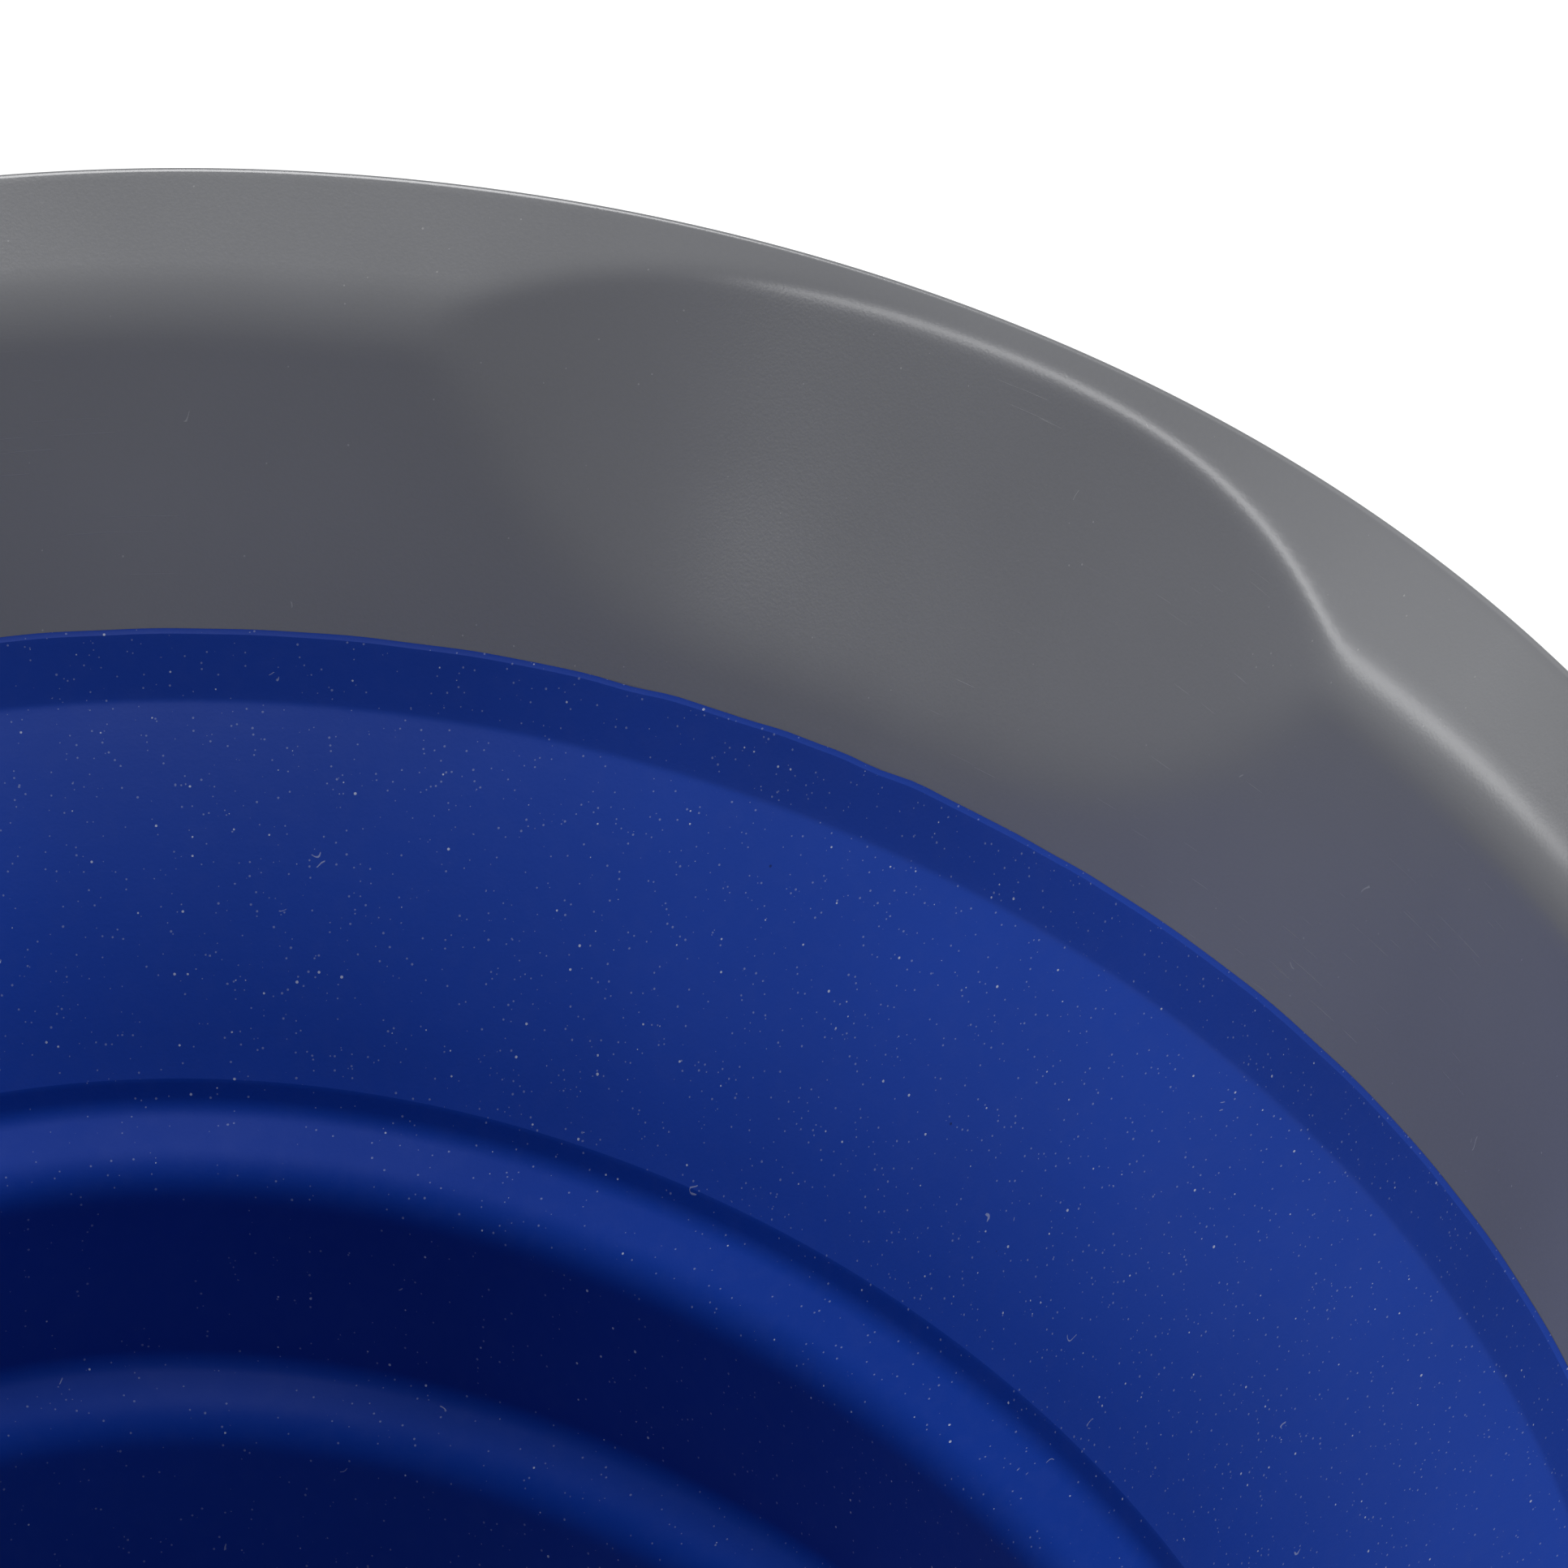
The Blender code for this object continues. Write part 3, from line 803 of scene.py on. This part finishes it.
def make_eye(place):
    """The plug's upright lug: a plate with a round top, a flared foot and a round hole."""
    steps = 64
    work = bmesh.new()
    rings = []
    flat = EYE_HALF_WIDTH - EYE_CHAMFER
    for side, grow in ((-EYE_HALF_WIDTH, -EYE_CHAMFER), (-flat, 0), (flat, 0),
                       (EYE_HALF_WIDTH, -EYE_CHAMFER)):
        rim, bore = [], []
        for step in range(steps):
            across, up = math.cos(2 * math.pi * step / steps), math.sin(2 * math.pi * step / steps)
            reach = EYE_RADIUS
            if up < 0:
                reach = min(EYE_RADIUS / max(abs(across) + EYE_FLARE * up, 0.1), EYE_RADIUS / -up)
            for points, size in ((rim, reach + grow), (bore, EYE_HOLE - grow)):
                points.append(work.verts.new((size * across * MM, side * MM, size * up * MM)))
        rings.append((rim, bore))
    for step in range(steps):
        after = (step + 1) % steps
        for (rim, bore), (next_rim, next_bore) in zip(rings, rings[1:]):
            work.faces.new((rim[step], rim[after], next_rim[after], next_rim[step]))
            work.faces.new((bore[step], bore[after], next_bore[after], next_bore[step]))
        for rim, bore in (rings[0], rings[-1]):
            work.faces.new((rim[step], rim[after], bore[after], bore[step]))
    bmesh.ops.translate(work, verts=work.verts, vec=place)
    return from_bmesh("plug_eye", work, PLUG_RUBBER)


def make_pull_ring(place):
    """A D-shaped ring of round moulded wire, hinged in the plug's eye."""
    half, corner = RING_HALF_WIDTH, RING_CORNER
    path = [(0, share * (half - corner)) for share in np.linspace(-1, 1, 7)]
    path += [(corner - corner * math.cos(turn), half - corner + corner * math.sin(turn))
             for turn in np.linspace(0, math.pi / 2, 8)[1:]]
    path += [(RING_LENGTH - half + half * math.cos(turn), half * math.sin(turn))
             for turn in np.linspace(math.pi / 2, -math.pi / 2, 33)]
    path += [(corner - corner * math.cos(turn), -half + corner - corner * math.sin(turn))
             for turn in np.linspace(math.pi / 2, 0, 8)[:-1]]
    path = np.array(path)
    along = unit_rows(np.roll(path, -1, axis=0) - np.roll(path, 1, axis=0))
    sides = np.stack((-along[:, 1], along[:, 0]), axis=-1)
    steps = 20
    work = bmesh.new()
    rings = []
    for point, side in zip(path, sides):
        loop = []
        for step in range(steps):
            turn = 2 * math.pi * step / steps
            spot = point + side * RING_WIRE * math.cos(turn)
            loop.append(work.verts.new((*(spot * MM), RING_WIRE * MM * math.sin(turn))))
        rings.append(loop)
    for loop, following in zip(rings, rings[1:] + rings[:1]):
        for step in range(steps):
            after = (step + 1) % steps
            work.faces.new((loop[step], loop[after], following[after], following[step]))
    bmesh.ops.rotate(work, verts=work.verts, matrix=Matrix.Rotation(RING_DROOP, 3, "Y"))
    bmesh.ops.translate(work, verts=work.verts, vec=place)
    return from_bmesh("pull_ring", work, DRAIN_PLASTIC)


def make_drain():
    """Seat, plug and pull ring made smooth; the hidden fittings keep their solids."""
    x, y = middle_of("drain_seat")
    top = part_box("drain_seat")[1].z / MM
    seat = softened([(14.5, 4.5), (20.4, 4.5), (20.4, top - 2.2), (28, top - 2.2), (27, top),
                     (17.5, top), (16.5, top - 1), (16.5, 7.7), (14.5, 7.7)], 0.7)
    flange = turned("drain_flange", seat, (x, y, 0), DRAIN_PLASTIC)
    finish_piece(flange, "base", "drain_seat")

    plug = softened([(0, 12.2), (15.2, 12.2), (16.2, top), (16.2, top + 0.3), (20.4, top + 0.3),
                     (21, top + 1.2), (19.6, PLUG_TOP), (13.5, PLUG_TOP), (12.5, PLUG_TOP - 0.8),
                     (0, PLUG_TOP - 0.8)], 0.8)
    cap = turned("plug_cap", plug, (x, y, 0), PLUG_RUBBER)
    finish_piece(cap, "plug", "drain_plug")
    finish_piece(make_eye((x, y, EYE_HEIGHT * MM)), "plug", "drain_plug")
    finish_piece(make_pull_ring((x, y, EYE_HEIGHT * MM)), "pull_ring",
                 "plug_pull_ring")

    for node, material in (("drain_gasket", FOOT_RUBBER), ("drain_locknut", DRAIN_PLASTIC),
                           ("drain_strainer", DRAIN_PLASTIC)):
        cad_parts[node].material_slots[0].material = material


make_rim()
make_wall()
make_pan()
add_pan_fittings()
make_feet()
make_mat()
make_drain()


# ---------------------------------------------------------------- stage

CAMERA_PLACE = (-2.427, 0.132, 1.538)
CAMERA_AIM = (0.132, -0.092, 0.235)
CAMERA_LENS = 435.9


def make_stage():
    """A pale floor that shines a little, for even light from below."""
    shader = Shader("pale_floor", Roughness=0.9, Specular_IOR_Level=0.1, Emission_Color=(1, 1, 1, 1),
                    Emission_Strength=0.35)
    tone = shader.spread(shader.noise(1.5, 2), 0.3, 0.7, 0, 1)
    shader.link(shader.mix(tone, (0.93, 0.93, 0.93, 1), (0.96, 0.96, 0.96, 1)),
                shader.main.inputs["Base Color"])
    bpy.ops.mesh.primitive_plane_add(size=16)
    floor = bpy.context.object
    floor.name = "floor"
    floor.data.materials.append(shader.material)


def facing(place, aim):
    """The turn of a light or a camera at one place that looks at another."""
    return (Vector(aim) - Vector(place)).to_track_quat("-Z", "Y").to_euler()


def area_light(name, place, aim, width, height, power, roll=0.0):
    light = bpy.data.lights.new(name, "AREA")
    light.shape = "RECTANGLE"
    light.size = width
    light.size_y = height
    light.energy = power
    item = bpy.data.objects.new(name, light)
    item.location = place
    item.rotation_euler = facing(place, aim)
    item.rotation_euler.rotate_axis("Z", roll)
    bpy.context.scene.collection.objects.link(item)


def make_lights():
    """A large soft light overhead, a low wide window at the side and a faint even sky."""
    area_light("overhead", place=(0.6, -0.1, 2.8), aim=(0.2, 0, 0.1), width=2.2, height=2.2,
               power=60)
    area_light("window", place=(0.62, 1.69, 0.98), aim=(0.27, -0.15, 0.22), width=2.4,
               height=0.24, power=5.2, roll=math.radians(8))
    world = bpy.data.worlds.new("studio")
    world.use_nodes = True
    sky = world.node_tree.nodes["Background"]
    sky.inputs["Color"].default_value = (1, 1, 1, 1)
    sky.inputs["Strength"].default_value = 0.15
    bpy.context.scene.world = world
    bpy.context.scene.view_settings.view_transform = "Standard"


def make_camera():
    """Close view along the tub of the far right part of the rim and wall."""
    camera = bpy.data.cameras.new("camera")
    camera.lens = CAMERA_LENS
    camera.sensor_width = 36
    item = bpy.data.objects.new("camera", camera)
    item.location = CAMERA_PLACE
    item.rotation_euler = facing(CAMERA_PLACE, CAMERA_AIM)
    bpy.context.scene.collection.objects.link(item)
    bpy.context.scene.camera = item


make_stage()
make_lights()
make_camera()
